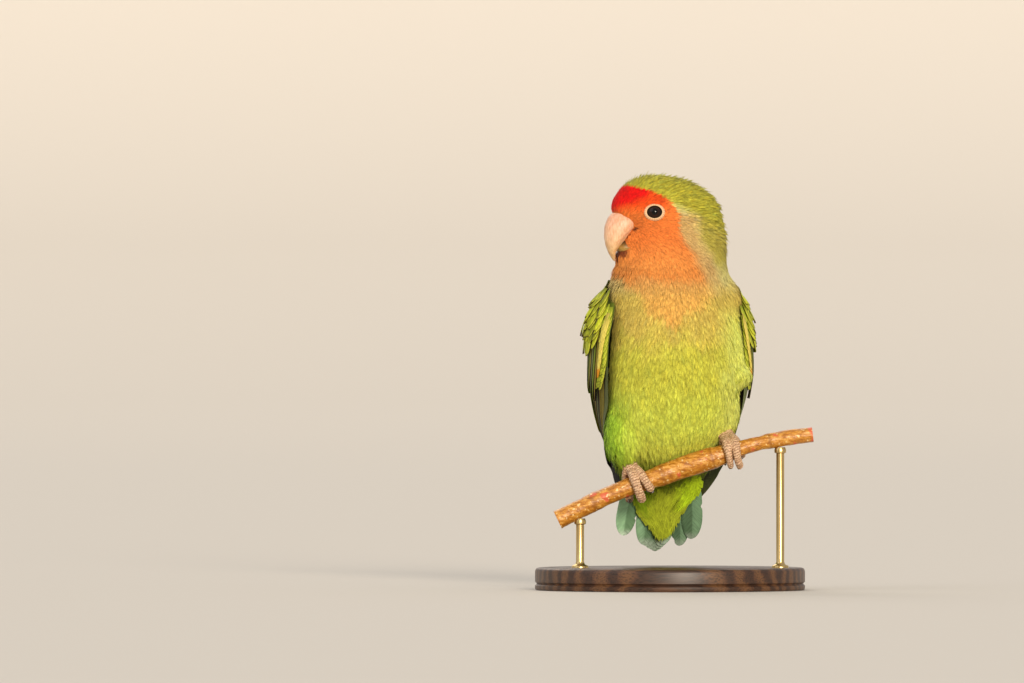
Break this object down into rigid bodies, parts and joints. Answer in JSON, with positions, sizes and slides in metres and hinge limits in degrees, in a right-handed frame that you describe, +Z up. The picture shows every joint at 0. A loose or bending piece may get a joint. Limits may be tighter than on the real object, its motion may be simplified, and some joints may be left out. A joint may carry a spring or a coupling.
{
  "type": "peach-faced lovebird",
  "caption": "Small green parrot with a rosy face, perched upright with its head turned, on a short cut branch over a round display stand.",
  "frame": {"origin": "middle of the underside of the stand's round base", "axes": "+Z up; the bird's breast faces -Y, turned 10 degrees to +X, and its bill points to -X; the perch runs along X"},
  "size_m": [0.1113, 0.108, 0.1666],
  "materials": {
    "green_plumage": "soft matt yellow-green body feathers",
    "face_plumage": "soft matt rose-red to orange face feathers",
    "neck_plumage": "soft matt peach throat feathers",
    "wing_plumage": "smooth darker green flight feathers",
    "tail_plumage": "smooth blue-green tail feathers",
    "horn": "satin pale horn",
    "bare_skin": "pale bare skin",
    "eye": "wet dark brown",
    "foot_skin": "scaly pinkish grey skin",
    "claw": "dark horn",
    "bark": "thin glossy orange-brown bark",
    "stand_wood": "oiled dark wood",
    "stand_metal": "satin pale brass"
  },
  "bodies": {
    "root": {"torso": "green_plumage", "neck": "neck_plumage", "head": "face_plumage", "thigh_left": "green_plumage", "thigh_right": "green_plumage", "wing_left": "wing_plumage", "wing_right": "wing_plumage", "tail": "tail_plumage", "bill_upper": "horn", "bill_lower": "horn", "cere": "bare_skin", "eye_left": "eye", "eye_right": "eye", "eyelid_left": "bare_skin", "eyelid_right": "bare_skin", "leg_left": "foot_skin", "leg_right": "foot_skin", "claw_left_1": "claw", "claw_left_2": "claw", "claw_left_3": "claw", "claw_left_4": "claw", "claw_right_1": "claw", "claw_right_2": "claw", "claw_right_3": "claw", "claw_right_4": "claw", "perch": "bark", "stand_base": "stand_wood", "stand_rod_left": "stand_metal", "stand_rod_right": "stand_metal"}
  },
  "joints": []
}
